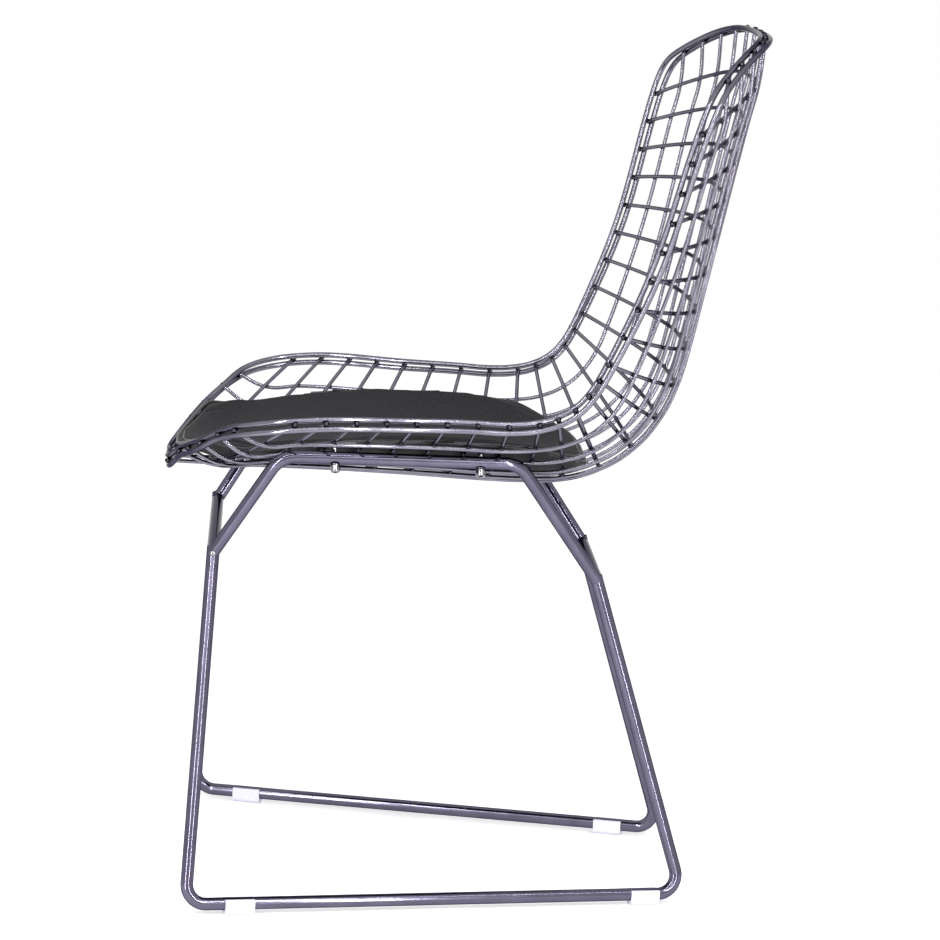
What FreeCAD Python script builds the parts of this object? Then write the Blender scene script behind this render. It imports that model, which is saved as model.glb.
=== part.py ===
import FreeCAD, Part
import math
import os
import Sketcher
from FreeCAD import Placement, Rotation, Vector

# Wire mesh side chair: a dished lattice shell between two rim rods, carried by two bent seat bars
# on a sled base of bent rod, with clip-on glides and a loose seat pad.
# Front is -Y, up is +Z, X = 0 is the plane of symmetry, and the floor is at Z = 0.

doc = FreeCAD.newDocument("wire_mesh_chair")
sheet = doc.addObject("Spreadsheet::Sheet", "Sizes")

SIZES = {
    # stock
    "rod_diameter": 12.0,
    "rim_rod_diameter": 5.5,
    "wire_diameter": 3.8,
    "contact_clearance": 0.05,
    # sled base, along the middle of the rod
    "runner_front_y": -244.0,
    "runner_front_half_spread": 250.5,
    "runner_rear_y": 227.5,
    "runner_rear_half_spread": 137.5,
    "front_crossbar_y": -231.5,
    "front_crossbar_height": 327.0,
    "front_crossbar_half_span": 163.0,
    "rear_crossbar_y": 134.0,
    "rear_crossbar_height": 305.0,
    "rear_crossbar_half_span": 113.5,
    "runner_bend_radius": 18.0,
    # seat bars
    "seat_bar_rear_share": 0.77,
    "seat_bar_front_share": 0.76,
    "seat_bar_front_y": -171.5,
    "seat_bar_rear_y": 51.5,
    "seat_bar_bend_radius": 27.0,
    # glides
    "glide_length": 28.0,
    "glide_corner_radius": 5.0,
    "glide_width": 15.5,
    "glide_sole": 4.0,
    "glide_lip": 4.6,
    "glide_front_left_inset": 51.0,
    "glide_front_right_inset": 55.5,
    "glide_rear_left_inset": 38.0,
    "glide_rear_right_inset": 52.0,
    # lattice
    "row_first_on_centre": 41.5,
    "row_pitch_centre": 37.4,
    "row_first_on_rim": 316.5,
    "row_pitch_back": 29.85,
    "row_pitch_bend": 18.4,
    "row_pitch_seat": 29.0,
    "row_flat_back": 40.0,
    "row_flat_seat": 15.0,
    "wire_end_overrun": 2.5,
    "long_wire_share_pitch": 0.166,
    "long_wire_share_drop": 0.003,
    "long_wire_share_in_seat": 0.96,
    # clamps that hold the shell on the seat bars
    "clamp_plate_length": 40.0,
    "clamp_plate_width": 10.0,
    "clamp_plate_thickness": 2.5,
    "clamp_bolt_diameter": 5.0,
    "clamp_head_diameter": 9.0,
    "clamp_head_height": 8.0,
    "clamp_hole_diameter": 5.3,
    # seat pad
    "pad_side_bulge": 2.5,
    "pad_clearance": 0.95,
    "pad_pocket_clearance": 0.4,
    "pad_nose_overhang": 3.5,
    "pad_nose_rise": 12.3,
    "pad_nose_lean": 46.0,
}

# Stations of the rim, from the middle of the seat's front edge round to the middle of the top:
# half width, place along Y and height
RIM_STATIONS = {
    "rim_front_middle": (0.0, -278.0, 393.5),
    "rim_front_inner": (65.0, -271.5, 403.0),
    "rim_front_outer": (125.0, -253.5, 420.5),
    "rim_corner_inner": (187.0, -224.0, 443.5),
    "rim_corner_outer": (226.0, -200.5, 453.5),
    "rim_seat_front": (241.5, -162.5, 460.5),
    "rim_seat_middle": (221.0, -48.5, 462.5),
    "rim_seat_inner": (213.0, 7.5, 462.0),
    "rim_seat_rear": (208.0, 57.5, 462.5),
    "rim_bend": (204.5, 98.5, 478.0),
    "rim_back_low": (213.0, 128.5, 524.0),
    "rim_back_middle": (238.0, 167.5, 625.0),
    "rim_back_high": (265.0, 194.5, 733.0),
    "rim_shoulder_low": (265.5, 208.0, 774.0),
    "rim_shoulder_high": (241.0, 219.5, 790.0),
    "rim_top_outer": (160.0, 252.5, 816.5),
    "rim_top_middle": (0.0, 272.5, 824.5),
}

# Stations of the shell's middle line between the two ends of the rim: place along Y and height
CENTRE_STATIONS = {
    "centre_seat_lip": (-222.5, 397.5),
    "centre_seat_front": (-142.5, 397.5),
    "centre_seat_middle": (-42.5, 394.5),
    "centre_seat_rear": (57.5, 391.5),
    "centre_bend_low": (102.5, 395.0),
    "centre_bend_middle": (140.5, 409.5),
    "centre_bend_high": (168.5, 431.0),
    "centre_back_low": (193.5, 468.0),
    "centre_back_middle": (215.0, 543.5),
    "centre_back_high": (238.5, 663.5),
    "centre_back_top": (258.5, 762.5),
}

# Stations of the pad from front to rear: the row of the lattice, in parts of a pitch, with the
# half width, the thickness along the sides and the thickness in the middle; row 23 is the nose
PAD_STATIONS = {
    "pad_nose": (23.0, 136.0, 4.0, 11.5),
    "pad_front": (22.85, 138.0, 6.5, 16.0),
    "pad_front_outer": (22.0, 170.0, 9.0, 17.5),
    "pad_front_quarter": (21.0, 179.5, 9.0, 19.0),
    "pad_front_middle": (20.0, 183.0, 8.0, 20.0),
    "pad_middle": (19.0, 184.0, 8.0, 20.0),
    "pad_rear_middle": (18.0, 183.0, 8.0, 20.0),
    "pad_rear_quarter": (17.0, 181.5, 8.0, 20.0),
    "pad_corner_start": (15.0, 175.0, 8.0, 20.0),
    "pad_corner": (13.8, 162.0, 8.5, 19.5),
    "pad_corner_end": (12.8, 132.0, 9.0, 18.0),
    "pad_rear": (12.3, 98.0, 9.0, 15.0),
    "pad_tail": (12.13, 72.0, 5.0, 8.0),
}

for name, (row, half_width, edge, crown) in PAD_STATIONS.items():
    SIZES[name + "_row"] = row
    SIZES[name + "_half_width"] = half_width
    SIZES[name + "_edge"] = edge
    SIZES[name + "_crown"] = crown
for name, (half_width, along, height) in RIM_STATIONS.items():
    if half_width:
        SIZES[name + "_half_width"] = half_width
    SIZES[name + "_y"] = along
    SIZES[name + "_height"] = height
for name, (along, height) in CENTRE_STATIONS.items():
    SIZES[name + "_y"] = along
    SIZES[name + "_height"] = height

for row, (alias, value) in enumerate(SIZES.items(), start=1):
    sheet.set("A%d" % row, alias)
    sheet.set("B%d" % row, "%g" % value)
    sheet.setAlias("B%d" % row, alias)
doc.recompute()


def size(alias):
    return float(getattr(sheet, alias, 0.0))


ROWS = 22
SEAT_ROWS_FROM = 14
BACK_ROWS_TO = 9
BAR_CONTACT_ROWS = {"front": 21, "rear": 15}
CLAMP_ROWS = {"front": 20, "rear": 16}
LONG_WIRES_PER_HALF = 6
WIRE_SIDES = 8
RIM_SIDES = 8
SIDES = (("left", 1), ("right", -1))
SITTER = Vector(0, size("centre_seat_middle_y"), size("rim_back_middle_height"))

rod_radius = size("rod_diameter") / 2
rim_rod_radius = size("rim_rod_diameter") / 2
wire_radius = size("wire_diameter") / 2
rod_on_floor = rod_radius + size("glide_sole")
nodes = []


def mirrored(point):
    return Vector(-point.x, point.y, point.z)


def add_node(name, shape):
    """A sub-part whose shape is worked out from the sheet's sizes."""
    feature = doc.addObject("Part::Feature", name)
    feature.Label = name
    feature.Shape = shape
    feature.Placement = Placement()
    nodes.append(feature)
    return feature


def add_mirrored(name, source):
    """The right-hand twin of a sub-part."""
    twin = doc.addObject("Part::Mirroring", name)
    twin.Label = name
    twin.Source = source
    twin.Normal = Vector(1, 0, 0)
    twin.Base = Vector(0, 0, 0)
    nodes.append(twin)
    return twin


# Lattice wires and rim rods: straight runs between their welds, mitred where they bend

def flat_face(corners):
    return Part.Face(Part.makePolygon(corners + corners[:1]))


def wire_through(points, radius, sides, end_normal=None):
    """A wire of a many-sided section whose corners lie on the given radius."""
    runs = [(after - before).normalize() for before, after in zip(points, points[1:])]
    across = runs[0].cross(Vector(1, 0, 0) if abs(runs[0].x) < 0.9 else Vector(0, 0, 1)).normalize()
    up = runs[0].cross(across)
    corners = []
    for index in range(sides):
        angle = (index + 0.5) * 2 * math.pi / sides
        corners.append(points[0] + (across * math.cos(angle) + up * math.sin(angle)) * radius)
    sections = []
    for point, arriving, leaving in zip(points, runs[:1] + runs, runs + runs[-1:]):
        mitre = arriving + leaving
        if end_normal and point in (points[0], points[-1]):
            mitre = end_normal
        slide = [(point - corner).dot(mitre) / arriving.dot(mitre) for corner in corners]
        corners = [corner + arriving * distance for corner, distance in zip(corners, slide)]
        sections.append(corners)
    faces = [flat_face(sections[0]), flat_face(sections[-1])]
    for near, far in zip(sections, sections[1:]):
        for index in range(sides):
            faces.append(flat_face([near[index - 1], near[index], far[index], far[index - 1]]))
    shell = Part.makeShell(faces)
    shell.sewShape()
    return Part.makeSolid(shell)


# The shell's two guide curves, in the middle of the lattice's thickness

def station(name):
    return Vector(size(name + "_half_width"), size(name + "_y"), size(name + "_height"))


rim_guide = Part.BSplineCurve()
rim_guide.interpolate(
    Points=[station(name) for name in reversed(RIM_STATIONS)],
    InitialTangent=Vector(1, 0, 0),
    FinalTangent=Vector(-1, 0, 0),
)
centre_guide = Part.BSplineCurve()
centre_names = ["rim_front_middle"] + list(CENTRE_STATIONS) + ["rim_top_middle"]
centre_guide.interpolate(Points=[station(name) for name in reversed(centre_names)])


def at_distance(guide, distance):
    parameter = guide.parameterAtDistance(distance, guide.FirstParameter)
    return guide.value(parameter), Vector(*guide.tangent(parameter)[0])


def rim_at_half_width(half_width, at_top):
    """The distance along the rim, from the middle of the top, of the end of a lengthwise wire."""
    low, high = 0.0, cross_wires[0].along_rim
    if not at_top:
        low, high = guide_length(rim_guide), cross_wires[-1].along_rim
    for _ in range(40):
        middle = (low + high) / 2
        if at_distance(rim_guide, middle)[0].x < half_width:
            low = middle
        else:
            high = middle
    return (low + high) / 2


def guide_length(guide):
    return guide.length(guide.FirstParameter, guide.LastParameter)


LONG_WIRE_SHARES = [
    index * (size("long_wire_share_pitch") - index * size("long_wire_share_drop"))
    for index in range(LONG_WIRES_PER_HALF + 1)
]


# Cross wires: each lies in its own plane, with a straight middle and two arcs that rise to the rim

class CrossWire:
    def __init__(self, row):
        index = row - 1
        back_steps = min(index, BACK_ROWS_TO - 1)
        bend_steps = min(max(index - (BACK_ROWS_TO - 1), 0), SEAT_ROWS_FROM - BACK_ROWS_TO)
        seat_steps = max(index - (SEAT_ROWS_FROM - 1), 0)
        along_rim = (
            size("row_first_on_rim")
            + back_steps * size("row_pitch_back")
            + bend_steps * size("row_pitch_bend")
            + seat_steps * size("row_pitch_seat")
        )
        along_centre = size("row_first_on_centre") + index * size("row_pitch_centre")
        self.row = row
        self.along_rim = along_rim
        self.rim_end, self.rim_direction = at_distance(rim_guide, along_rim)
        self.centre, self.centre_direction = at_distance(centre_guide, along_centre)
        seat_share = (index - (BACK_ROWS_TO - 1)) / (SEAT_ROWS_FROM - BACK_ROWS_TO)
        seat_share = min(max(seat_share, 0.0), 1.0)
        self.flat = size("row_flat_back") * (1 - seat_share) + size("row_flat_seat") * seat_share
        self.half_width = self.rim_end.x
        self.long_wires_at = [
            share * self.half_width * (1 - seat_share * (1 - size("long_wire_share_in_seat")))
            for share in LONG_WIRE_SHARES
        ]
        rise = Vector(0, self.rim_end.y - self.centre.y, self.rim_end.z - self.centre.z)
        self.depth = rise.Length
        self.rise = rise.normalize()
        reach = self.half_width - self.flat
        self.radius = (reach * reach + self.depth * self.depth) / (2 * self.depth)
        self.end_angle = math.asin(reach / self.radius)

    def point(self, x):
        """The point of the wire's middle line at a distance x from the plane of symmetry."""
        over = max(abs(x) - self.flat, 0.0)
        lift = self.radius - math.sqrt(self.radius * self.radius - over * over)
        return self.centre + Vector(x, 0, 0) + self.rise * lift

    def bends(self):
        """The ends of the wire and the places where it crosses the lengthwise wires."""
        half = [self.point(x) for x in self.long_wires_at + [self.half_width + size("wire_end_overrun")]]
        return [mirrored(point) for point in reversed(half[1:])] + half

    def direction(self, x):
        angle = math.asin(max(abs(x) - self.flat, 0.0) / self.radius)
        return Vector(math.cos(angle), 0, 0) + self.rise * math.sin(angle)


cross_wires = [CrossWire(row) for row in range(1, ROWS + 1)]


for cross_wire in cross_wires:
    add_node("cross_wire_%02d" % cross_wire.row, wire_through(cross_wire.bends(), wire_radius, WIRE_SIDES))


# Lengthwise wires: welded under the cross wires, with both ends brought up to the rim's middle

def outward(first, second, point):
    """The unit normal to both directions that points away from the sitter."""
    normal = first.cross(second).normalize()
    return normal * -1 if normal.dot(SITTER - point) > 0 else normal


def long_wire_bends(index):
    """The ends and bends of a lengthwise wire, from the top of the back to the seat's front."""
    top = at_distance(rim_guide, rim_at_half_width(cross_wires[0].long_wires_at[index], True))[0]
    front = at_distance(rim_guide, rim_at_half_width(cross_wires[-1].long_wires_at[index], False))[0]
    chain = [top] + [wire.point(wire.long_wires_at[index]) for wire in cross_wires] + [front]
    points = [top]
    for wire, before, crossing, after in zip(cross_wires, chain, chain[1:], chain[2:]):
        away = outward(wire.direction(wire.long_wires_at[index]), after - before, crossing)
        points.append(crossing + away * (wire_radius * 2 + size("contact_clearance")))
    points.append(front)
    overrun = size("wire_end_overrun")
    points[0] = points[0] + (points[0] - points[1]).normalize() * overrun
    points[-1] = points[-1] + (points[-1] - points[-2]).normalize() * overrun
    return points


add_node("long_wire_middle", wire_through(long_wire_bends(0), wire_radius, WIRE_SIDES))
for side_name, side in SIDES:
    for index in range(1, LONG_WIRES_PER_HALF + 1):
        bends = [Vector(side * point.x, point.y, point.z) for point in long_wire_bends(index)]
        add_node(
            "long_wire_%s_%d" % (side_name, index),
            wire_through(bends, wire_radius, WIRE_SIDES),
        )


# Rim: two closed rods with the ends of all the wires welded between them

RIM_CORNER_STEPS = 5


def rim_frame(along, wire, x):
    """A place on the rim with the rim's direction and the way to a point of the nearest wire."""
    point, direction = at_distance(rim_guide, along)
    return point, direction, wire.point(x) - point


def rim_frames():
    """Frames round half of the rim at all the wire ends and round the corners between them."""
    first = cross_wires[0]
    last = cross_wires[-1]
    top = [(rim_at_half_width(x, True), x) for x in first.long_wires_at]
    front = [(rim_at_half_width(x, False), x) for x in last.long_wires_at]
    for ends, wire in ((top, first), (front, last)):
        along, x = ends[-1]
        for step in range(1, RIM_CORNER_STEPS):
            ends.append((along + (wire.along_rim - along) * step / RIM_CORNER_STEPS, x))
    frames = [rim_frame(along, last, x) for along, x in front]
    for wire in reversed(cross_wires):
        frames.append((wire.rim_end, wire.rim_direction, wire.direction(wire.half_width) * -1))
    return frames + [rim_frame(along, first, x) for along, x in reversed(top)]


def rim_rod_shape(side_of_wires):
    """Half of the rod runs through places beside the wire ends and is joined to its mirror."""
    offset = wire_radius + rim_rod_radius + size("contact_clearance")
    points = []
    for point, direction, inward in rim_frames():
        points.append(point + outward(direction, inward, point) * (side_of_wires * offset))
    points[0].x = 0.0
    points[-1].x = 0.0
    half = wire_through(points, rim_rod_radius, RIM_SIDES, Vector(1, 0, 0))
    return half.fuse(half.mirror(Vector(0, 0, 0), Vector(1, 0, 0)))


add_node("rim_rod_inner", rim_rod_shape(-1))
add_node("rim_rod_outer", rim_rod_shape(1))


# Sled base and seat bars: round rod bent in straight runs and arcs

def arc_edge(start, end, direction):
    """The arc from start to end that leaves the start in the direction."""
    chord = end - start
    along = Vector(chord).normalize()
    side = (direction - along * direction.dot(along)).normalize()
    rise = chord.Length / 2 * math.tan(direction.getAngle(along) / 2)
    return Part.Arc(start, (start + end) * 0.5 + side * rise, end).toShape()


def rod_along(edges, radius):
    """A round rod swept along a chain of edges."""
    first = edges[0]
    direction = first.tangentAt(first.FirstParameter)
    section = Part.Wire(Part.makeCircle(radius, first.valueAt(first.FirstParameter), direction))
    return Part.Wire(edges).makePipeShell([section], True, False)


def bent_path(corners, bend_radii):
    """Straight runs between the corners, with an arc of the given radius at each inner corner."""
    edges = []
    start = corners[0]
    for before, corner, after, radius in zip(corners, corners[1:], corners[2:], bend_radii):
        arriving = (corner - before).normalize()
        leaving = (after - corner).normalize()
        setback = radius * math.tan(arriving.getAngle(leaving) / 2)
        bend_start = corner - arriving * setback
        bend_end = corner + leaving * setback
        edges.append(Part.LineSegment(start, bend_start).toShape())
        edges.append(arc_edge(bend_start, bend_end, arriving))
        start = bend_end
    edges.append(Part.LineSegment(start, corners[-1]).toShape())
    return edges


def crossbar_end(place):
    bar = place + "_crossbar"
    return Vector(size(bar + "_half_span"), size(bar + "_y"), size(bar + "_height"))


runner_front = Vector(size("runner_front_half_spread"), size("runner_front_y"), rod_on_floor)
runner_rear = Vector(size("runner_rear_half_spread"), size("runner_rear_y"), rod_on_floor)
leg_front_top = crossbar_end("front")
leg_rear_top = crossbar_end("rear")


def beyond(point, before, reach):
    """A place past the point on the line from before."""
    return point + (point - before).normalize() * reach


def sled_shape(radius):
    """A front leg, a runner and a rear leg in one rod, a little past the crossbars at both ends."""
    corners = [
        beyond(leg_front_top, runner_front, rod_radius),
        runner_front,
        runner_rear,
        beyond(leg_rear_top, runner_rear, rod_radius),
    ]
    return rod_along(bent_path(corners, [size("runner_bend_radius")] * 2), radius)


sled_left = add_node("sled_left", sled_shape(rod_radius))
sled_right = add_mirrored("sled_right", sled_left)
sled_seat = sled_shape(rod_radius + size("contact_clearance"))
both_seats = sled_seat.fuse(sled_seat.mirror(Vector(0, 0, 0), Vector(1, 0, 0)))


def largest_solid(shape):
    return max(shape.Solids, key=lambda solid: solid.Volume)


def crossbar_shape(end, radius):
    span = Part.LineSegment(Vector(-end.x, end.y, end.z), end).toShape()
    return largest_solid(rod_along([span], radius).cut(both_seats))


for place, end in (("front", leg_front_top), ("rear", leg_rear_top)):
    add_node("crossbar_" + place, crossbar_shape(end, rod_radius))


# Seat bars: the cross wires rest on their middle, and both ends are coped onto the sled's tops

def run_over_bar(row):
    """Both ends of a cross wire's straight run over the left seat bar."""
    wire = cross_wires[row - 1]
    return [wire.point(x) for x in wire.long_wires_at[-2:]]


def point_over_bar(row, x):
    inner, outer = run_over_bar(row)
    return inner + (outer - inner) * ((x - inner.x) / (outer.x - inner.x))


def seat_bar_contact(row, share):
    """The middle of a bar that the cross wire of this row rests on."""
    inner, outer = run_over_bar(row)
    point = point_over_bar(row, share * cross_wires[row - 1].half_width)
    away = outward(outer - inner, Vector(0, 1, 0), point)
    return point + away * (wire_radius + rod_radius + size("contact_clearance"))


bar_contact_front = seat_bar_contact(BAR_CONTACT_ROWS["front"], size("seat_bar_front_share"))
bar_contact_rear = seat_bar_contact(BAR_CONTACT_ROWS["rear"], size("seat_bar_rear_share"))
bar_slope = bar_contact_rear - bar_contact_front


def on_seat_bar(along):
    """The point of the bar's straight middle at this place along Y."""
    return bar_contact_front + bar_slope * ((along - bar_contact_front.y) / bar_slope.y)


# Clamps: a plate over two neighbouring cross wires is drawn down on the bar by a bolt from below

class Clamp:
    def __init__(self, row):
        """On the bar's middle line, with Z through the bar and Y from wire to wire."""
        near_y = point_over_bar(row, leg_front_top.x).y
        far_y = point_over_bar(row - 1, leg_front_top.x).y
        middle = on_seat_bar((near_y + far_y) / 2)
        near = point_over_bar(row, middle.x)
        far = point_over_bar(row - 1, middle.x)
        inner, outer = run_over_bar(row)
        towards_sitter = (outer - inner).cross(far - near)
        turn = Rotation(outer - inner, far - near, towards_sitter, "YZX")
        self.placement = Placement(middle, turn)
        wire_height = max(self.placement.inverse().multVec(point).z for point in (near, far))
        self.plate_height = wire_height + wire_radius + size("contact_clearance")

    def hole(self):
        """A hole right through the bar and all that lies on it."""
        reach = size("clamp_plate_length")
        hole = Part.makeCylinder(size("clamp_hole_diameter") / 2, reach, Vector(0, 0, -reach / 2))
        hole.Placement = self.placement
        return hole


clamps = {place: Clamp(row) for place, row in CLAMP_ROWS.items()}


def seat_bar_shape():
    corners = [
        leg_front_top,
        on_seat_bar(size("seat_bar_front_y")),
        on_seat_bar(size("seat_bar_rear_y")),
        leg_rear_top,
    ]
    bar = rod_along(bent_path(corners, [size("seat_bar_bend_radius")] * 2), rod_radius)
    bar = bar.cut(sled_seat)
    for end in (leg_front_top, leg_rear_top):
        bar = bar.cut(crossbar_shape(end, rod_radius + size("contact_clearance")))
    for clamp in clamps.values():
        bar = bar.cut(clamp.hole())
    return largest_solid(bar)


seat_bar_left = add_node("seat_bar_left", seat_bar_shape())
seat_bar_right = add_mirrored("seat_bar_right", seat_bar_left)


def sketch_on(body, name, role):
    plane = next(feature for feature in body.Origin.OriginFeatures if feature.Role == role)
    sketch = body.newObject("Sketcher::SketchObject", name)
    sketch.AttachmentSupport = [(plane, "")]
    sketch.MapMode = "FlatFace"
    return sketch


def bind(sketch, constraint, expression):
    index = sketch.addConstraint(constraint)
    sketch.setExpression("Constraints[%d]" % index, expression)


def add_body(name):
    body = doc.addObject("PartDesign::Body", name)
    body.Label = name
    nodes.append(body)
    return body


def clamp_plate(name, clamp):
    """A flat plate with a hole in the middle."""
    body = add_body(name)
    sketch = sketch_on(body, name + "_outline", "XY_Plane")
    half_width = size("clamp_plate_width") / 2
    half_length = size("clamp_plate_length") / 2
    corners = [
        Vector(half_width, -half_length, 0),
        Vector(half_width, half_length, 0),
        Vector(-half_width, half_length, 0),
        Vector(-half_width, -half_length, 0),
    ]
    for start, end in zip(corners, corners[1:] + corners[:1]):
        sketch.addGeometry(Part.LineSegment(start, end))
    sketch.addGeometry(Part.Circle(Vector(0, 0, 0), Vector(0, 0, 1), size("clamp_hole_diameter") / 2))
    for first, second in ((0, 1), (1, 2), (2, 3), (3, 0)):
        sketch.addConstraint(Sketcher.Constraint("Coincident", first, 2, second, 1))
    for line, direction in ((0, "Vertical"), (1, "Horizontal"), (2, "Vertical"), (3, "Horizontal")):
        sketch.addConstraint(Sketcher.Constraint(direction, line))
    sketch.addConstraint(Sketcher.Constraint("Symmetric", 0, 1, 1, 2, -1, 1))
    sketch.addConstraint(Sketcher.Constraint("Coincident", 4, 3, -1, 1))
    along = Sketcher.Constraint("DistanceY", 0, 1, 0, 2, half_length * 2)
    bind(sketch, along, "Sizes.clamp_plate_length")
    across = Sketcher.Constraint("DistanceX", 1, 2, 1, 1, half_width * 2)
    bind(sketch, across, "Sizes.clamp_plate_width")
    hole = Sketcher.Constraint("Diameter", 4, size("clamp_hole_diameter"))
    bind(sketch, hole, "Sizes.clamp_hole_diameter")
    plate = body.newObject("PartDesign::Pad", name + "_plate")
    plate.Profile = sketch
    plate.setExpression("Length", "Sizes.clamp_plate_thickness")
    body.Placement = clamp.placement.multiply(Placement(Vector(0, 0, clamp.plate_height), Rotation()))
    return body


def clamp_bolt(name, clamp):
    """A round head under the bar and a shank that ends flush with the top of the plate."""
    head = doc.addObject("Part::Cylinder", name + "_head")
    head.setExpression("Radius", "Sizes.clamp_head_diameter / 2")
    head.setExpression("Height", "Sizes.clamp_head_height")
    head_top = rod_radius + size("contact_clearance")
    head.Placement = Placement(Vector(0, 0, -head_top - size("clamp_head_height")), Rotation())
    shank = doc.addObject("Part::Cylinder", name + "_shank")
    shank.setExpression("Radius", "Sizes.clamp_bolt_diameter / 2")
    shank.setExpression("Height", "Sizes.clamp_plate_thickness + %.3f" % (head_top + clamp.plate_height))
    shank.Placement = Placement(Vector(0, 0, -head_top), Rotation())
    bolt = doc.addObject("Part::MultiFuse", name)
    bolt.Label = name
    bolt.Shapes = [head, shank]
    bolt.Placement = clamp.placement
    nodes.append(bolt)
    return bolt


for place, clamp in clamps.items():
    plate = clamp_plate("clamp_plate_%s_left" % place, clamp)
    add_mirrored("clamp_plate_%s_right" % place, plate)
    bolt = clamp_bolt("clamp_bolt_%s_left" % place, clamp)
    add_mirrored("clamp_bolt_%s_right" % place, bolt)


# Glides: a clip whose lips hold the runner, with a flat sole on the floor

def glide(name, side, middle):
    """A clip pushed onto the runner of one side, with its middle at the place on the left runner."""
    body = add_body(name)
    sketch = sketch_on(body, name + "_section", "YZ_Plane")
    half_width = size("glide_width") / 2
    corner = size("glide_corner_radius")
    lip = size("glide_lip")
    seat = rod_radius + size("contact_clearance")
    mouth = math.sqrt(seat * seat - lip * lip)
    mouth_angle = math.asin(lip / seat)
    forward = Vector(0, 0, 1)
    sole_end = Vector(half_width - corner, -rod_on_floor, 0)
    sketch.addGeometry(Part.LineSegment(mirrored(sole_end), sole_end))
    right_corner = Vector(half_width - corner, corner - rod_on_floor, 0)
    sketch.addGeometry(
        Part.ArcOfCircle(Part.Circle(right_corner, forward, corner), -math.pi / 2, 0)
    )
    sketch.addGeometry(Part.LineSegment(Vector(half_width, right_corner.y, 0), Vector(half_width, lip, 0)))
    sketch.addGeometry(Part.LineSegment(Vector(half_width, lip, 0), Vector(mouth, lip, 0)))
    sketch.addGeometry(
        Part.ArcOfCircle(
            Part.Circle(Vector(0, 0, 0), forward, seat), math.pi - mouth_angle, 2 * math.pi + mouth_angle
        )
    )
    sketch.addGeometry(Part.LineSegment(Vector(-mouth, lip, 0), Vector(-half_width, lip, 0)))
    sketch.addGeometry(Part.LineSegment(Vector(-half_width, lip, 0), Vector(-half_width, right_corner.y, 0)))
    left_corner = Vector(corner - half_width, right_corner.y, 0)
    sketch.addGeometry(
        Part.ArcOfCircle(Part.Circle(left_corner, forward, corner), math.pi, 3 * math.pi / 2)
    )
    for first, second in ((0, 1), (1, 2), (6, 7), (7, 0)):
        sketch.addConstraint(Sketcher.Constraint("Tangent", first, 2, second, 1))
    sketch.addConstraint(Sketcher.Constraint("Coincident", 2, 2, 3, 1))
    sketch.addConstraint(Sketcher.Constraint("Coincident", 3, 2, 4, 2))
    sketch.addConstraint(Sketcher.Constraint("Coincident", 4, 1, 5, 1))
    sketch.addConstraint(Sketcher.Constraint("Coincident", 5, 2, 6, 1))
    sketch.addConstraint(Sketcher.Constraint("Coincident", 4, 3, -1, 1))
    sketch.addConstraint(Sketcher.Constraint("Horizontal", 0))
    sketch.addConstraint(Sketcher.Constraint("Horizontal", 3))
    sketch.addConstraint(Sketcher.Constraint("Horizontal", 5))
    sketch.addConstraint(Sketcher.Constraint("Vertical", 2))
    sketch.addConstraint(Sketcher.Constraint("Symmetric", 2, 2, 6, 1, -2))
    sketch.addConstraint(Sketcher.Constraint("Equal", 1, 7))
    bind(sketch, Sketcher.Constraint("Radius", 1, corner), "Sizes.glide_corner_radius")
    bind(
        sketch,
        Sketcher.Constraint("Radius", 4, seat),
        "Sizes.rod_diameter / 2 + Sizes.contact_clearance",
    )
    bind(
        sketch,
        Sketcher.Constraint("DistanceX", 6, 1, 2, 2, half_width * 2),
        "Sizes.glide_width",
    )
    bind(sketch, Sketcher.Constraint("DistanceY", -1, 1, 2, 2, lip), "Sizes.glide_lip")
    bind(
        sketch,
        Sketcher.Constraint("DistanceY", 0, 1, -1, 1, rod_on_floor),
        "Sizes.rod_diameter / 2 + Sizes.glide_sole",
    )
    clip = body.newObject("PartDesign::Pad", name + "_clip")
    clip.Profile = sketch
    clip.SideType = "Symmetric"
    clip.setExpression("Length", "Sizes.glide_length")
    runner = runner_rear - runner_front
    runner.x *= side
    turn = Rotation(runner, Vector(0, 0, 0), Vector(0, 0, 1), "XZY")
    body.Placement = Placement(Vector(side * middle.x, middle.y, middle.z), turn)


for side_name, side in SIDES:
    inset_front = size("glide_front_%s_inset" % side_name)
    inset_rear = size("glide_rear_%s_inset" % side_name)
    glide("glide_front_" + side_name, side, beyond(runner_front, runner_rear, -inset_front))
    glide("glide_rear_" + side_name, side, beyond(runner_rear, runner_front, -inset_rear))


# Seat pad: its sections stand in the planes of the cross wires that it lies on

class PadFrame:
    """A plane across the seat, and how high above its centre the pad's underside is at each x."""

    def __init__(self, centre, rise, lift):
        self.centre = centre
        self.rise = rise
        self.lift = lift

    def blend(self, other, share):
        def lift(x):
            return self.lift(x) * (1 - share) + other.lift(x) * share

        centre = self.centre + (other.centre - self.centre) * share
        return PadFrame(centre, (self.rise + (other.rise - self.rise) * share).normalize(), lift)

    def place(self, across, up):
        return self.centre + Vector(across, 0, 0) + self.rise * up

    def above(self, x, height, bulge=0.0):
        """A place a height above the underside, square to it, and pushed outward by the bulge."""
        step = size("pad_side_bulge")
        slope = math.atan2(self.lift(x + step) - self.lift(x - step), step * 2)
        across = x - height * math.sin(slope) + bulge * math.cos(slope)
        up = self.lift(x) + height * math.cos(slope) + bulge * math.sin(slope)
        return self.place(across, up)


def frame_on_wire(wire):
    gap = wire_radius + size("pad_clearance")

    def lift(x):
        over = max(x - wire.flat, 0.0)
        return wire.radius - math.sqrt((wire.radius - gap) ** 2 - over ** 2)

    return PadFrame(wire.centre, wire.rise, lift)


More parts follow.
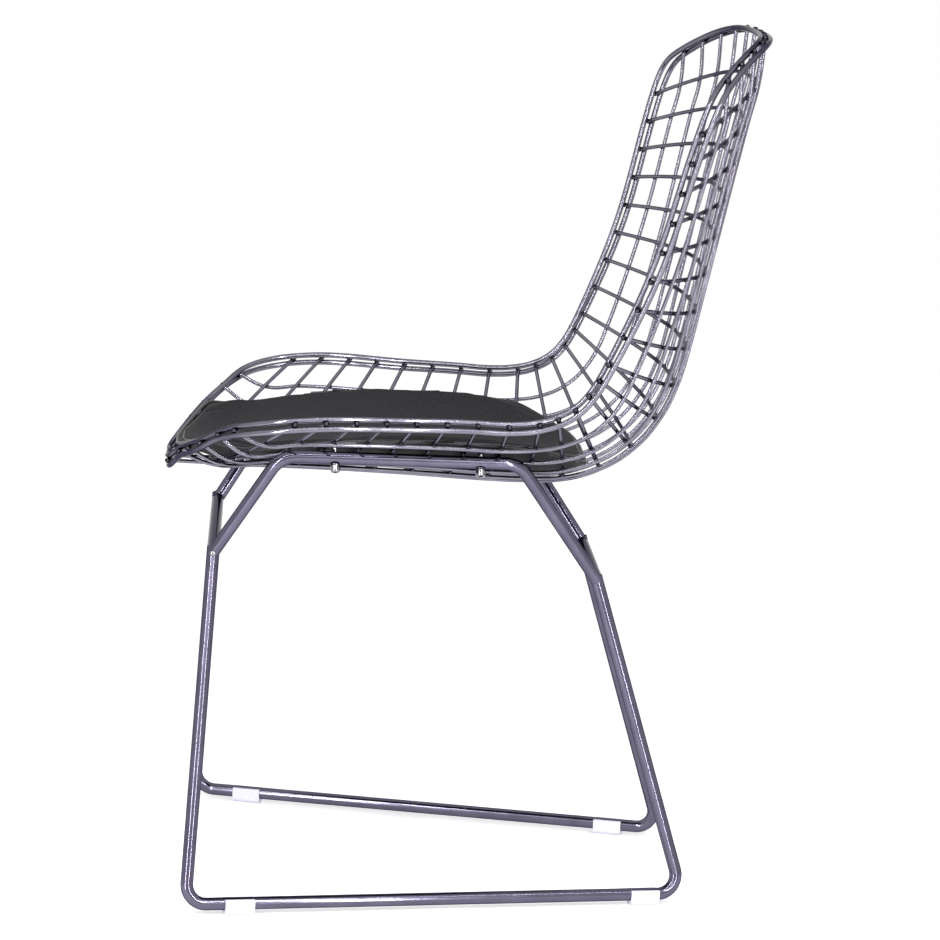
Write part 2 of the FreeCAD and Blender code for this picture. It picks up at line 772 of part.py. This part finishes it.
def frame_on_rim():
    lean = math.radians(size("pad_nose_lean"))
    rise = Vector(0, math.sin(lean), math.cos(lean))

    edge = station("rim_front_middle")

    def lift(x):
        return (at_distance(rim_guide, rim_at_half_width(x, False))[0] - edge).dot(rise)

    return PadFrame(edge + Vector(0, -size("pad_nose_overhang"), size("pad_nose_rise")), rise, lift)


pad_frames = [frame_on_wire(wire) for wire in cross_wires] + [frame_on_rim()]


def pad_section(name):
    """Flat and two arcs below, a crown above, and drawn-in sides that bulge between them."""
    row = size(name + "_row")
    nearest = min(int(row), len(pad_frames) - 1)
    frame = pad_frames[nearest - 1].blend(pad_frames[nearest], row - nearest)
    flat = size("row_flat_seat")
    half_width = size(name + "_half_width")
    edge = size(name + "_edge")
    corner = frame.above(half_width, 0.0)
    top_corner = frame.above(half_width, edge)
    bulge = frame.above(half_width, edge / 2, size("pad_side_bulge"))
    underside = frame.above((flat + half_width) / 2, 0.0)
    flat_end = frame.above(flat, 0.0)
    crown = frame.place(0, frame.lift(0.0) + size(name + "_crown"))
    return Part.Wire(
        [
            Part.LineSegment(mirrored(flat_end), flat_end).toShape(),
            Part.Arc(flat_end, underside, corner).toShape(),
            Part.Arc(corner, bulge, top_corner).toShape(),
            Part.Arc(top_corner, crown, mirrored(top_corner)).toShape(),
            Part.Arc(mirrored(top_corner), mirrored(bulge), mirrored(corner)).toShape(),
            Part.Arc(mirrored(corner), mirrored(underside), mirrored(flat_end)).toShape(),
        ]
    )


def pocket(clamp):
    """The hollow that a clamp plate presses in the pad's underside, with its mirror."""
    clearance = size("pad_pocket_clearance")
    length = size("clamp_plate_length") + clearance * 2
    width = size("clamp_plate_width") + clearance * 2
    depth = size("clamp_plate_thickness") * 2 + clearance
    corner = Vector(-width / 2, -length / 2, clamp.plate_height - size("clamp_plate_thickness"))
    hollow = Part.makeBox(width, length, depth, corner)
    hollow.Placement = clamp.placement
    return [hollow, hollow.mirror(Vector(0, 0, 0), Vector(1, 0, 0))]


sections = []
for name in PAD_STATIONS:
    section = doc.addObject("Part::Feature", name + "_section")
    section.Shape = pad_section(name)
    sections.append(section)
pad_body = doc.addObject("Part::Loft", "pad_body")
pad_body.Sections = sections
pad_body.Solid = True
pad_body.Ruled = True
pockets = doc.addObject("Part::Feature", "pad_pockets")
pockets.Shape = Part.makeCompound([hollow for clamp in clamps.values() for hollow in pocket(clamp)])
pad = doc.addObject("Part::Cut", "seat_pad")
pad.Label = "seat_pad"
pad.Base = pad_body
pad.Tool = pockets
nodes.append(pad)


# Checks and export

doc.recompute()
os.makedirs("parts", exist_ok=True)
for entry in doc.Objects:
    if "Invalid" in entry.State or "Error" in entry.State:
        raise RuntimeError("%s is not valid" % entry.Label)
for node in nodes:
    if node.Shape.isNull() or not node.Shape.isValid():
        raise RuntimeError("%s has no valid shape" % node.Label)
for node in nodes:
    node.Shape.exportStep("parts/%s.step" % node.Label)
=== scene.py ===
import math
import bmesh
import bpy
from mathutils import Matrix, Vector, noise
from mathutils.bvhtree import BVHTree


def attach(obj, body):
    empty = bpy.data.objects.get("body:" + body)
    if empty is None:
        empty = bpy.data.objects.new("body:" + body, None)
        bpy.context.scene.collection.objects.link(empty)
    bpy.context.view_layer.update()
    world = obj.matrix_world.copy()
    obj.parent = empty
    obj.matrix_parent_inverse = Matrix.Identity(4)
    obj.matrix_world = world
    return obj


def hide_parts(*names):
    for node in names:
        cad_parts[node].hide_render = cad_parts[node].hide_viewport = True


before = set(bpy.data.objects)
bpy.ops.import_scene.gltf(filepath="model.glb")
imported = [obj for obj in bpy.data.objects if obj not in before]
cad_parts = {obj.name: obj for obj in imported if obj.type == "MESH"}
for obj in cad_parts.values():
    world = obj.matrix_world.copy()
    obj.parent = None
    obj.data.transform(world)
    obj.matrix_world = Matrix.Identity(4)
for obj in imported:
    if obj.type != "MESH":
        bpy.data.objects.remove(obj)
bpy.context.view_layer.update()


# Base rods. The sled's two runners with their legs, the two crossbars and the two seat bars are
# solid steel rod, bent cold and welded at the corners, with a satin metallic coat of dark grey.

class Value:
    """A shader socket that can be used in ordinary arithmetic."""

    def __init__(self, nodes, socket):
        self.nodes = nodes
        self.socket = socket

    def maths(self, operation, first, second):
        return self.nodes.add("Math", {"operation": operation}, {0: first, 1: second})

    def __add__(self, other):
        return self.maths("ADD", self, other)

    def __radd__(self, other):
        return self.maths("ADD", other, self)

    def __sub__(self, other):
        return self.maths("SUBTRACT", self, other)

    def __rsub__(self, other):
        return self.maths("SUBTRACT", other, self)

    def __mul__(self, other):
        return self.maths("MULTIPLY", self, other)

    def __rmul__(self, other):
        return self.maths("MULTIPLY", other, self)

    def __pow__(self, other):
        return self.maths("POWER", self, other)


class Nodes:
    """A node tree of a material or of the world."""

    def __init__(self, tree):
        self.tree = tree

    def add(self, kind, settings, sockets, output=0):
        """A new node: its settings come first, then the values or links of its sockets."""
        node = self.tree.nodes.new("ShaderNode" + kind)
        for name, value in settings.items():
            setattr(node, name, value)
        for name, value in sockets.items():
            self.feed(node.inputs[name], value)
        return Value(self, node.outputs[output])

    def feed(self, socket, value):
        if isinstance(value, Value):
            self.tree.links.new(value.socket, socket)
        else:
            socket.default_value = value

    def blend(self, amount, first, second):
        """A colour between two others."""
        return self.add("Mix", {"data_type": "RGBA"}, {0: amount, 6: first, 7: second}, output=2)

    def seen_plainly(self):
        """One for camera, mirror and glass rays, and nought for the rays that carry soft light."""
        rays = [
            self.add("LightPath", {}, {}, output)
            for output in ("Is Camera Ray", "Is Glossy Ray", "Is Transmission Ray")
        ]
        return rays[0].maths("MAXIMUM", rays[0], rays[1].maths("MAXIMUM", rays[1], rays[2]))


class Finish(Nodes):
    """A material with one Principled shader."""

    def __init__(self, name, **sockets):
        self.material = bpy.data.materials.new(name)
        self.material.use_nodes = True
        super().__init__(self.material.node_tree)
        self.shader = self.tree.nodes["Principled BSDF"]
        for socket, value in sockets.items():
            self.shader.inputs[socket.replace("_", " ")].default_value = value

    def drive(self, socket, value):
        self.feed(self.shader.inputs[socket], value)

    def place(self):
        """The place on the surface, in metres, in the frame."""
        return self.add("TexCoord", {}, {}, "Object")

    def grain(self, scale, detail=2.0, roughness=0.5):
        return self.add(
            "TexNoise",
            {},
            {"Vector": self.place(), "Scale": scale, "Detail": detail, "Roughness": roughness},
        )

    def bump(self, height, distance):
        self.drive("Normal", self.add("Bump", {}, {"Height": height, "Distance": distance}))


def rgb(red, green, blue):
    return (red, green, blue, 1.0)


# Painted shade: a dark edge tint that darkens the metal's reflection towards the edges of the rods,
# wires and welds.
PAINTED_SHADE_EDGE_TINT = rgb(0.25, 0.24, 0.27)
RUBBED_CONTRAST = 2.0
RUBBED_ROUGHNESS = 0.08


def coated_steel(name, colour, bright, roughness):
    """Satin metallic coat whose reflection carries painted shade towards its edges, with rubbed
    places a little brighter.
    """
    # The dark specular tint paints shade into the reflection along the edges.
    finish = Finish(name, Metallic=1.0, Specular_Tint=PAINTED_SHADE_EDGE_TINT)
    rubbed = finish.grain(scale=38.0, detail=3.0)
    finish.drive("Base Color", finish.blend(rubbed ** RUBBED_CONTRAST, colour, bright))
    finish.drive("Roughness", roughness + RUBBED_ROUGHNESS * rubbed)
    return finish.material


def placed(name, data):
    """A new object in the scene that shows a mesh, a curve, a lamp or a camera."""
    piece = bpy.data.objects.new(name, data)
    bpy.context.scene.collection.objects.link(piece)
    return piece


SAME_PLACE = 0.00001


def share_corners(mesh):
    """Joins the corners that lie on each other and drops the shading kept for separate ones."""
    shape = bmesh.new()
    shape.from_mesh(mesh)
    bmesh.ops.remove_doubles(shape, verts=shape.verts, dist=SAME_PLACE)
    shape.to_mesh(mesh)
    shape.free()
    if mesh.has_custom_normals:
        mesh.attributes.remove(mesh.attributes["custom_normal"])


def smooth_copy(node, sharp_above):
    """The CAD node's own shape with smooth shading, to stand for the node."""
    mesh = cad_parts[node].data.copy()
    mesh.materials.clear()
    share_corners(mesh)
    mesh.shade_smooth()
    mesh.set_sharp_from_angle(angle=math.radians(sharp_above))
    return placed(node + "_finished", mesh)


def add_on(piece, material):
    """The piece gets its material and rides with the chair."""
    piece.data.materials.append(material)
    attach(piece, "root")


def fit(piece, node, material):
    """The piece takes the place of a CAD node."""
    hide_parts(node)
    add_on(piece, material)


ROD_NODES = (
    "sled_left",
    "sled_right",
    "crossbar_front",
    "crossbar_rear",
    "seat_bar_left",
    "seat_bar_right",
)

rod_finish = coated_steel(
    "satin_grey_rod",
    colour=rgb(0.105, 0.097, 0.140),
    bright=rgb(0.17, 0.157, 0.215),
    roughness=0.10,
)
for node in ROD_NODES:
    fit(smooth_copy(node, sharp_above=40.0), node, rod_finish)


# Lattice wires and rim. Thin round steel wires cross in a dished net, spot welded where they touch,
# and two thicker rods run right round the edge with the ends of the wires welded between them.

PLACE_DIGITS = 6
WIRE_RADIUS = 0.0019
RIM_ROD_RADIUS = 0.00275
RING_WIDTH = 2.4
WIRE_ROUNDNESS = 4
WIRE_SMOOTHNESS = 6
FAR_LEFT = Vector((-1, 0, 0))
FAR_ABOVE = Vector((0, 0, 9))


def unique_corners(node):
    places = {}
    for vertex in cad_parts[node].data.vertices:
        places[tuple(round(value, PLACE_DIGITS) for value in vertex.co)] = vertex.co.copy()
    return list(places.values())


def ring_middles(node, radius):
    """The middle of each ring of corners of a many-sided CAD wire."""
    rings = []
    for corner in unique_corners(node):
        for ring in rings:
            if (ring[0] - corner).length < radius * RING_WIDTH:
                ring.append(corner)
                break
        else:
            rings.append([corner])
    return [sum(ring, Vector()) / len(ring) for ring in rings]


def in_order(points, first):
    """The points as they follow each other along the wire."""
    rest = list(points)
    chain = [min(rest, key=lambda point: (point - first).length)]
    rest.remove(chain[0])
    while rest:
        chain.append(min(rest, key=lambda point: (point - chain[-1]).length))
        rest.remove(chain[-1])
    return chain


def round_wire(name, points, radius, closed=False):
    """A round wire on one smooth curve through all the points."""
    curve = bpy.data.curves.new(name, "CURVE")
    curve.dimensions = "3D"
    curve.bevel_depth = radius
    curve.bevel_resolution = WIRE_ROUNDNESS
    curve.resolution_u = WIRE_SMOOTHNESS
    curve.use_fill_caps = True
    spline = curve.splines.new("BEZIER")
    spline.bezier_points.add(len(points) - 1)
    for bend, point in zip(spline.bezier_points, points):
        bend.co = point
        bend.handle_left_type = "AUTO"
        bend.handle_right_type = "AUTO"
    spline.use_cyclic_u = closed
    return placed(name, curve)


def fit_wire(node, first, radius, closed=False):
    """A round wire or rod for a many-sided CAD node; returns the line that it follows."""
    line = in_order(ring_middles(node, radius), first)
    fit(round_wire(node + "_round", line, radius, closed), node, wire_finish)
    return line


wire_finish = coated_steel(
    "satin_grey_wire",
    colour=rgb(0.15, 0.142, 0.178),
    bright=rgb(0.30, 0.285, 0.34),
    roughness=0.12,
)
cross_wire_lines = []
long_wire_lines = []
for node in sorted(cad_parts):
    if node.startswith("cross_wire"):
        cross_wire_lines.append(fit_wire(node, FAR_LEFT, WIRE_RADIUS))
    if node.startswith("long_wire"):
        long_wire_lines.append(fit_wire(node, FAR_ABOVE, WIRE_RADIUS))
    if node.startswith("rim_rod"):
        fit_wire(node, FAR_LEFT, RIM_ROD_RADIUS, closed=True)


# Welds. Each crossing of two wires, and each end of a wire between the rim rods, is fused in a small
# squashed bead of the same steel, a little duller and darker than the wire.

BEAD_UNEVENNESS = 0.35
BEAD_LUMPS_PER_METRE = 600.0
BEAD_FINENESS = 2
CROSSING_BEAD = 0.0021
CROSSING_STRETCH = 1.25
END_BEAD = 0.0027
END_STRETCH = 1.3
END_DEPTH = 0.6


def add_bead(beads, middle, along, radius, stretch):
    """A small lump that is longer in one direction and slightly uneven."""
    turn = Vector((0, 0, 1)).rotation_difference(along).to_matrix().to_4x4()
    reach = Matrix.Diagonal((radius, radius, radius * stretch, 1.0))
    lump = bmesh.ops.create_icosphere(
        beads,
        subdivisions=BEAD_FINENESS,
        radius=1.0,
        matrix=Matrix.Translation(middle) @ turn @ reach,
    )
    for corner in lump["verts"]:
        swell = 1.0 + BEAD_UNEVENNESS * noise.noise(corner.co * BEAD_LUMPS_PER_METRE)
        corner.co = middle + (corner.co - middle) * swell


long_wire_lines.sort(key=lambda line: line[len(line) // 2].x)
beads = bmesh.new()
for row, cross_line in enumerate(cross_wire_lines, start=1):
    for long_line, crossing in zip(long_wire_lines, cross_line[1:-1]):
        apart = long_line[row] - crossing
        add_bead(beads, crossing + apart / 2, apart, CROSSING_BEAD, CROSSING_STRETCH)
for line in cross_wire_lines + long_wire_lines:
    for end, inner in ((line[0], line[1]), (line[-1], line[-2])):
        along = (inner - end).normalized()
        add_bead(beads, end + along * END_BEAD * END_DEPTH, along, END_BEAD, END_STRETCH)
bead_mesh = bpy.data.meshes.new("weld_beads")
beads.to_mesh(bead_mesh)
beads.free()
bead_mesh.shade_smooth()
weld_finish = coated_steel(
    "weld_steel",
    colour=rgb(0.030, 0.028, 0.036),
    bright=rgb(0.075, 0.070, 0.090),
    roughness=0.22,
)
add_on(placed("weld_beads", bead_mesh), weld_finish)


# Clamps. A small plate lies over two cross wires on each side of the seat, front and rear, and a
# chrome screw from below pulls it down on the seat bar.

HEAD_RADIUS = 0.0045
HEAD_HEIGHT = 0.008
HEAD_EDGE = 0.0010
HEAD_EDGE_START = HEAD_EDGE * 0.3
SHANK_RADIUS = 0.0025
SOCKET_REACH = 0.0020
SOCKET_MOUTH = SOCKET_REACH * 1.25
SOCKET_FLOOR = SOCKET_REACH * 0.2
SOCKET_DEPTH = 0.0035
SOCKET_LIP = 0.0003
SOCKET_FLATS = 6
SOCKET_RINGS = (1, 2)
SCREW_SIDES = 36
SCREW_SHARP_ABOVE = 35.0
AXIS_PASSES = 20


def turned(name, profile, along, base, socket_rings=()):
    """A body of revolution about the direction, whose socket rings are six-sided."""
    turn = Vector((0, 0, 1)).rotation_difference(along)
    flat = math.tau / SOCKET_FLATS
    shape = bmesh.new()
    rings = []
    for number, (radius, height) in enumerate(profile):
        ring = []
        for step in range(SCREW_SIDES):
            angle = step * math.tau / SCREW_SIDES
            reach = radius
            if number in socket_rings:
                reach = SOCKET_REACH / math.cos((angle % flat) - flat / 2)
            corner = Vector((reach * math.cos(angle), reach * math.sin(angle), height))
            ring.append(shape.verts.new(base + turn @ corner))
        rings.append(ring)
    for lower, upper in zip(rings, rings[1:]):
        for step in range(SCREW_SIDES):
            after = (step + 1) % SCREW_SIDES
            shape.faces.new((lower[step], lower[after], upper[after], upper[step]))
    shape.faces.new(list(reversed(rings[0])))
    shape.faces.new(rings[-1])
    mesh = bpy.data.meshes.new(name)
    shape.to_mesh(mesh)
    shape.free()
    mesh.shade_smooth()
    mesh.set_sharp_from_angle(angle=math.radians(SCREW_SHARP_ABOVE))
    return placed(name, mesh)


def long_axis(corners):
    """The middle of a slender solid and the direction it is longest in, pointing up."""
    middle = sum(corners, Vector()) / len(corners)
    far = max(corners, key=lambda corner: (corner - middle).length)
    axis = (far - middle).normalized()
    for _ in range(AXIS_PASSES):
        axis = sum(((corner - middle) * (corner - middle).dot(axis) for corner in corners), Vector())
        axis.normalize()
    return middle, axis if axis.z > 0 else -axis


def round_edges(piece, width, segments):
    rounding = piece.modifiers.new("rounded_edges", "BEVEL")
    rounding.width = width
    rounding.segments = segments
    rounding.limit_method = "ANGLE"


chrome = Finish("bright_chrome", Metallic=1.0)
chrome_marks = chrome.grain(scale=420.0)
chrome.drive("Base Color", chrome.blend(chrome_marks, rgb(0.10, 0.10, 0.115), rgb(0.44, 0.44, 0.47)))
chrome.drive("Roughness", 0.05 + 0.10 * chrome_marks)

for node in sorted(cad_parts):
    if node.startswith("clamp_bolt"):
        corners = unique_corners(node)
        middle, axis = long_axis(corners)
        heights = [(corner - middle).dot(axis) for corner in corners]
        profile = [
            (SOCKET_FLOOR, SOCKET_DEPTH),
            (SOCKET_REACH, SOCKET_DEPTH),
            (SOCKET_REACH, SOCKET_LIP),
            (SOCKET_MOUTH, 0.0),
            (HEAD_RADIUS - HEAD_EDGE, 0.0),
            (HEAD_RADIUS - HEAD_EDGE_START, HEAD_EDGE_START),
            (HEAD_RADIUS, HEAD_EDGE),
            (HEAD_RADIUS, HEAD_HEIGHT),
            (SHANK_RADIUS, HEAD_HEIGHT),
            (SHANK_RADIUS, max(heights) - min(heights)),
        ]
        screw = turned(node + "_screw", profile, axis, middle + axis * min(heights), SOCKET_RINGS)
        fit(screw, node, chrome.material)
    if node.startswith("clamp_plate"):
        plate = smooth_copy(node, sharp_above=30.0)
        round_edges(plate, width=0.0004, segments=2)
        fit(plate, node, wire_finish)


# Joint screws. A small domed chrome screw closes each joint of a leg, a crossbar and a seat bar: on
# the outer side at the front, and on the inner side at the rear.

JOINTS = {
    "joint_screw_front": dict(across=0.163, along=-0.2315, height=0.327, outward=1),
    "joint_screw_rear": dict(across=0.1135, along=0.134, height=0.305, outward=-1),
}
ROD_RADIUS = 0.006
DOME_SUNK = 0.0008
DOME_RADIUS = 0.0030
DOME_WALL = 0.0009
DOME_HEIGHT = 0.0018
DOME_STEPS = 7

dome_profile = [(DOME_RADIUS, 0.0), (DOME_RADIUS, DOME_WALL)]
for step in range(1, DOME_STEPS):
    angle = step * math.pi / 2 / DOME_STEPS
    dome_profile.append((DOME_RADIUS * math.cos(angle), DOME_WALL + DOME_HEIGHT * math.sin(angle)))

for name, joint in JOINTS.items():
    for side_name, side in (("left", 1), ("right", -1)):
        facing = Vector((side * joint["outward"], 0, 0))
        base = Vector((side * joint["across"], joint["along"], joint["height"]))
        base += facing * (ROD_RADIUS - DOME_SUNK)
        dome = turned(name + "_" + side_name, dome_profile, facing, base)
        add_on(dome, chrome.material)


# Glides. Pale plastic clips with a flat sole, pushed on the runners near their corners.

glide_plastic = Finish("pale_plastic", Metallic=0.0, IOR=1.46)
scuff = glide_plastic.grain(scale=260.0, detail=4.0)
glide_colour = glide_plastic.blend(scuff, rgb(0.62, 0.60, 0.70), rgb(0.72, 0.71, 0.80))
glide_plastic.drive("Base Color", glide_colour)
glide_plastic.drive("Roughness", 0.42 + 0.15 * scuff)
glide_plastic.bump(scuff, distance=0.00006)

for node in sorted(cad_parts):
    if node.startswith("glide"):
        clip = smooth_copy(node, sharp_above=30.0)
        round_edges(clip, width=0.0009, segments=3)
        fit(clip, node, glide_plastic.material)


# Seat pad. A thin foam pad in a black woven cover lies loose in the hollow of the seat, with a
# crown in the middle, a corded edge and a bound border with a line of stitches inside it.

cover = Finish("black_woven_cover", Sheen_Weight=0.02, Sheen_Roughness=0.4, Specular_IOR_Level=0.12)
weave = cover.add("TexVoronoi", {}, {"Vector": cover.place(), "Scale": 700.0})
lint = cover.grain(scale=520.0, detail=5.0, roughness=0.7)
worn = cover.grain(scale=14.0, detail=2.0)
border = cover.add("Attribute", {"attribute_name": "border"}, {}, "Fac")
cloth_colour = cover.blend(lint ** 4.0, rgb(0.0085, 0.0085, 0.0105), rgb(0.10, 0.097, 0.107))
cloth_colour = cover.blend(0.25 * worn, cloth_colour, rgb(0.013, 0.0125, 0.0155))
cover.drive("Base Color", cover.blend(border, cloth_colour, rgb(0.005, 0.005, 0.0065)))
cover.drive("Roughness", 0.68 + 0.2 * weave - 0.22 * border)
cover.bump(weave + 0.6 * lint, distance=0.00035)

PAD_VOXEL = 0.0045
PAD_PRESSURE = 4.0
PAD_FRAMES = 20
PAD_TAKEN_IN = 0.0012
PAD_SWELL_ABOVE = 0.0045
PAD_SWELL_BELOW = 0.0005
PAD_UNDERSIDE_TURN = -0.2
PAD_FRONT_FROM = -0.17
PAD_FRONT_TURN = -0.3
PAD_ROUNDING = 0.5
PAD_ROUNDING_PASSES = 8
OUTLINE_DIGITS = 5
BORDER_WIDTH = 0.0085
BORDER_FADE = 0.0012


def settle(piece):
    """Keeps the piece's shape as its modifiers now give it, and takes them off."""
    shaped = piece.evaluated_get(bpy.context.evaluated_depsgraph_get())
    mesh = bpy.data.meshes.new_from_object(shaped)
    piece.modifiers.clear()
    piece.data = mesh


def soft_body(source):
    """The solid's surface as an even net of cloth, with a rounded front, drawn in a little."""
    piece = placed("seat_pad_cushion", source.data.copy())
    piece.data.materials.clear()
    share_corners(piece.data)
    remesh = piece.modifiers.new("even_net", "REMESH")
    remesh.mode = "VOXEL"
    remesh.voxel_size = PAD_VOXEL
    settle(piece)
    shape = bmesh.new()
    shape.from_mesh(piece.data)
    front = [
        corner
        for corner in shape.verts
        if corner.co.y < PAD_FRONT_FROM and corner.normal.z > PAD_FRONT_TURN
    ]
    for _ in range(PAD_ROUNDING_PASSES):
        bmesh.ops.smooth_vert(
            shape,
            verts=front,
            factor=PAD_ROUNDING,
            use_axis_x=True,
            use_axis_y=True,
            use_axis_z=True,
        )
    shape.normal_update()
    for corner in shape.verts:
        corner.co -= corner.normal * PAD_TAKEN_IN
    shape.to_mesh(piece.data)
    shape.free()
    return piece


def blown_up(piece):
    """Lets air pressure stretch the cover, less where the pad rests on the wires."""
    start = [corner.co.copy() for corner in piece.data.vertices]
    facing = [corner.normal.copy() for corner in piece.data.vertices]
    stuffing = piece.modifiers.new("stuffing", "CLOTH")
    stuffing.settings.use_pressure = True
    stuffing.settings.uniform_pressure_force = PAD_PRESSURE
    stuffing.settings.effector_weights.gravity = 0.0
    for number in range(1, PAD_FRAMES + 1):
        bpy.context.scene.frame_set(number)
    settle(piece)
    bpy.context.scene.frame_set(1)
    for corner, before, normal in zip(piece.data.vertices, start, facing):
        move = corner.co - before
        cap = PAD_SWELL_ABOVE if normal.z > PAD_UNDERSIDE_TURN else PAD_SWELL_BELOW
        if move.length > cap:
            move = move.normalized() * cap
        corner.co = before + move


def plan_outline(piece):
    """The outline from above, as corners of a loop that turns left all the way."""
    corners = sorted(
        {
            (round(corner.co.x, OUTLINE_DIGITS), round(corner.co.y, OUTLINE_DIGITS))
            for corner in piece.data.vertices
        }
    )
    loop = []
    for ordered in (corners, corners[::-1]):
        chain = []
        for place in ordered:
            point = Vector(place)
            while len(chain) > 1 and (chain[-1] - chain[-2]).cross(point - chain[-1]) <= 0:
                chain.pop()
            chain.append(point)
        loop += chain[:-1]
    return loop


def border_share(loop, corner):
    """One on the cover's border, fading to nought on the cloth inside it."""
    flat = Vector((corner.co.x, corner.co.y))
    inset = min((end - start).normalized().cross(flat - start) for start, end in zip(loop, loop[1:]))
    return min(max((BORDER_WIDTH - inset) / BORDER_FADE + 0.5, 0.0), 1.0)


pad = soft_body(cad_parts["seat_pad"])
blown_up(pad)
pad_loop = plan_outline(pad)
border_mask = pad.data.attributes.new("border", "FLOAT", "POINT")
for corner, mask in zip(pad.data.vertices, border_mask.data):
    mask.value = border_share(pad_loop, corner)
pad.data.shade_smooth()
finer = pad.modifiers.new("finer", "SUBSURF")
finer.levels = 1
finer.render_levels = 1
fit(pad, "seat_pad", cover.material)

thread = Finish("black_thread", Roughness=0.45, Sheen_Weight=0.1)
strands = thread.grain(scale=1500.0)
thread_colour = thread.blend(strands, rgb(0.006, 0.006, 0.008), rgb(0.020, 0.020, 0.024))
thread.drive("Base Color", thread_colour)
thread.bump(strands, distance=0.0001)

CORDS = {
    "pad_edge_cord": dict(inset=0.0030, radius=0.0014, sunk=0.0004),
    "pad_stitch_line": dict(inset=0.0092, radius=0.0006, sunk=0.0002),
}
CORD_SPACING = 0.006
CORD_SMOOTHING_PASSES = 3
WELL_ABOVE = 1.0


def inside_by(loop, inset):
    """Evenly spaced places a distance inside the outline."""
    places = []
    for start, end in zip(loop, loop[1:] + loop[:1]):
        run = end - start
        inward = Vector((-run.y, run.x)).normalized() * inset
        steps = max(1, round(run.length / CORD_SPACING))
        places += [start + run * (step + 0.5) / steps + inward for step in range(steps)]
    return places


def laid_on(piece, places, sunk):
    """The places brought down on the piece's top, sunk in it by a little."""
    top = BVHTree.FromObject(piece, bpy.context.evaluated_depsgraph_get())
    line = []
    for place in places:
        above = Vector((place.x, place.y, WELL_ABOVE))
        hit, normal = top.ray_cast(above, Vector((0, 0, -1)))[:2]
        if hit:
            line.append(hit - normal * sunk)
    return line


def smoothed(line):
    for _ in range(CORD_SMOOTHING_PASSES):
        line = [
            before * 0.25 + point * 0.5 + after * 0.25
            for before, point, after in zip(line[-1:] + line[:-1], line, line[1:] + line[:1])
        ]
    return line


for name, cord in CORDS.items():
    line = smoothed(laid_on(pad, inside_by(pad_loop, cord["inset"]), cord["sunk"]))
    add_on(round_wire(name, line, cord["radius"], closed=True), thread.material)


# Studio. A pale floor that keeps the chair's soft shadow, a white surround, a large soft lamp and
# three narrow ones that draw bright lines along the rods.

FLOOR_SIZE = 8.0
SOFT_SKY = 0.73

floor_mesh = bpy.data.meshes.new("studio_floor")
floor_shape = bmesh.new()
bmesh.ops.create_grid(floor_shape, x_segments=1, y_segments=1, size=FLOOR_SIZE / 2)
floor_shape.to_mesh(floor_mesh)
floor_shape.free()
floor_finish = Finish("studio_floor", Roughness=0.9, Specular_IOR_Level=0.0, Emission_Strength=0.34)
floor_grain = floor_finish.grain(3.0)
floor_colour = floor_finish.blend(floor_grain, rgb(0.92, 0.92, 0.925), rgb(0.94, 0.94, 0.945))
floor_glow = floor_finish.blend(floor_finish.seen_plainly(), rgb(0, 0, 0), rgb(1, 1, 1))
floor_finish.drive("Base Color", floor_colour)
floor_finish.drive("Emission Color", floor_glow)
floor_mesh.materials.append(floor_finish.material)
placed("studio_floor", floor_mesh)

world = bpy.data.worlds.new("studio")
bpy.context.scene.world = world
world.use_nodes = True
surround = Nodes(world.node_tree)
sky = surround.seen_plainly()
background = world.node_tree.nodes["Background"]
surround.feed(background.inputs["Strength"], SOFT_SKY + (1.0 - SOFT_SKY) * sky)
background.inputs["Color"].default_value = rgb(1.0, 1.0, 1.0)

LAMPS = {
    "front_box": dict(
        place=(3.2, 0.0, 1.80), aim=(0.0, 0.0, 0.40), width=2.6, height=0.9, brightness=2.4
    ),
    "front_bar": dict(
        place=(1.15, 0.0, 1.75), aim=(0.1, 0.0, 0.35), width=2.4, height=0.045, brightness=30.0
    ),
    "left_strip": dict(
        place=(1.35, -0.85, 0.75), aim=(0.1, -0.1, 0.30), width=0.045, height=1.5, brightness=60.0
    ),
    "right_strip": dict(
        place=(1.35, 0.55, 0.75), aim=(0.1, 0.1, 0.30), width=0.045, height=1.5, brightness=60.0
    ),
}
for name, settings in LAMPS.items():
    lamp = bpy.data.lights.new(name, "AREA")
    lamp.shape = "RECTANGLE"
    lamp.size = settings["width"]
    lamp.size_y = settings["height"]
    lamp.energy = settings["brightness"] * math.pi * settings["width"] * settings["height"]
    holder = placed(name, lamp)
    away = Vector(settings["place"]) - Vector(settings["aim"])
    holder.location = settings["place"]
    holder.rotation_euler = away.to_track_quat("Z", "Y").to_euler()
    holder.visible_camera = False


# Camera. It stands to the sitter's left, a little above the seat, far off with a long lens.

CAMERA_PLACE = Vector((4.4556, -0.1939, 1.0554))
CAMERA_TURN = (81.5096, -2.6250, 87.7308)
CAMERA_LENS = 177.83
CAMERA_SENSOR = 36.0
CAMERA_REACH = 100.0

camera_data = bpy.data.cameras.new("camera")
camera_data.sensor_width = CAMERA_SENSOR
camera_data.lens = CAMERA_LENS
camera_data.clip_end = CAMERA_REACH
camera = placed("camera", camera_data)
camera.location = CAMERA_PLACE
camera.rotation_euler = [math.radians(angle) for angle in CAMERA_TURN]
bpy.context.scene.camera = camera
bpy.context.scene.view_settings.view_transform = "Standard"
